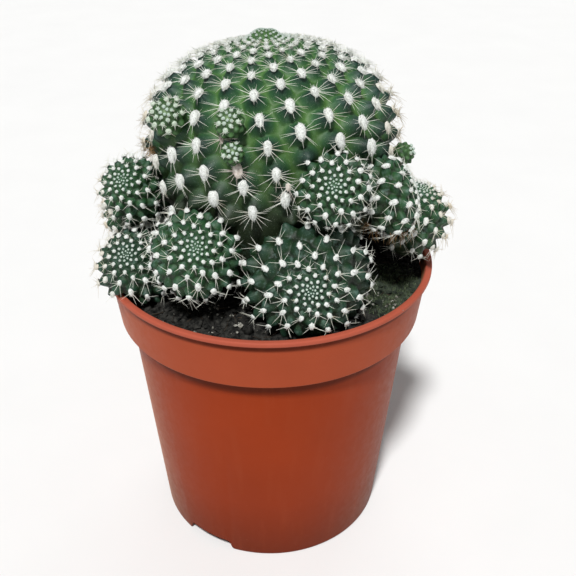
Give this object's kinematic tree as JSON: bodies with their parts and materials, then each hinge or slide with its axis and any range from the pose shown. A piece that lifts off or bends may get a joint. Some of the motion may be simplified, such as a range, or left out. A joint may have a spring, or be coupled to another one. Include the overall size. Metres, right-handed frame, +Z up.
{
  "type": "potted round cactus",
  "caption": "Globe cactus with spiny tubercles and a ring of small offsets round its base, in potting soil in a plain round tapered plastic nursery pot.",
  "frame": {"origin": "the pot's axis at the plane its foot stands on", "axes": "+Z up along the pot's axis; the front of the plant, where the largest offsets are, faces -Y; +X is to the right seen from the front"},
  "size_m": [0.1152, 0.1065, 0.1687],
  "materials": {
    "pot_plastic": "satin",
    "potting_soil": "matte",
    "cactus_skin": "satin",
    "offset_skin": "satin",
    "bud_skin": "satin",
    "areole_wool": "matte",
    "spine": "satin",
    "soil_grit": "matte",
    "moss": "matte"
  },
  "bodies": {
    "root": {"pot": "pot_plastic", "soil": "potting_soil", "head_main": "cactus_skin", "head_front_centre": "offset_skin", "head_front_left": "offset_skin", "head_front_right": "offset_skin", "head_right": "offset_skin", "head_left_upper": "offset_skin", "head_left_lower": "offset_skin", "head_right_outer": "offset_skin", "head_back_right": "offset_skin", "head_back_centre": "offset_skin", "head_back_left": "offset_skin", "head_left_back": "offset_skin", "head_back_upper": "offset_skin", "bud_left": "bud_skin", "bud_front_upper": "bud_skin", "bud_front_lower": "bud_skin", "bud_right": "bud_skin"}
  },
  "joints": []
}
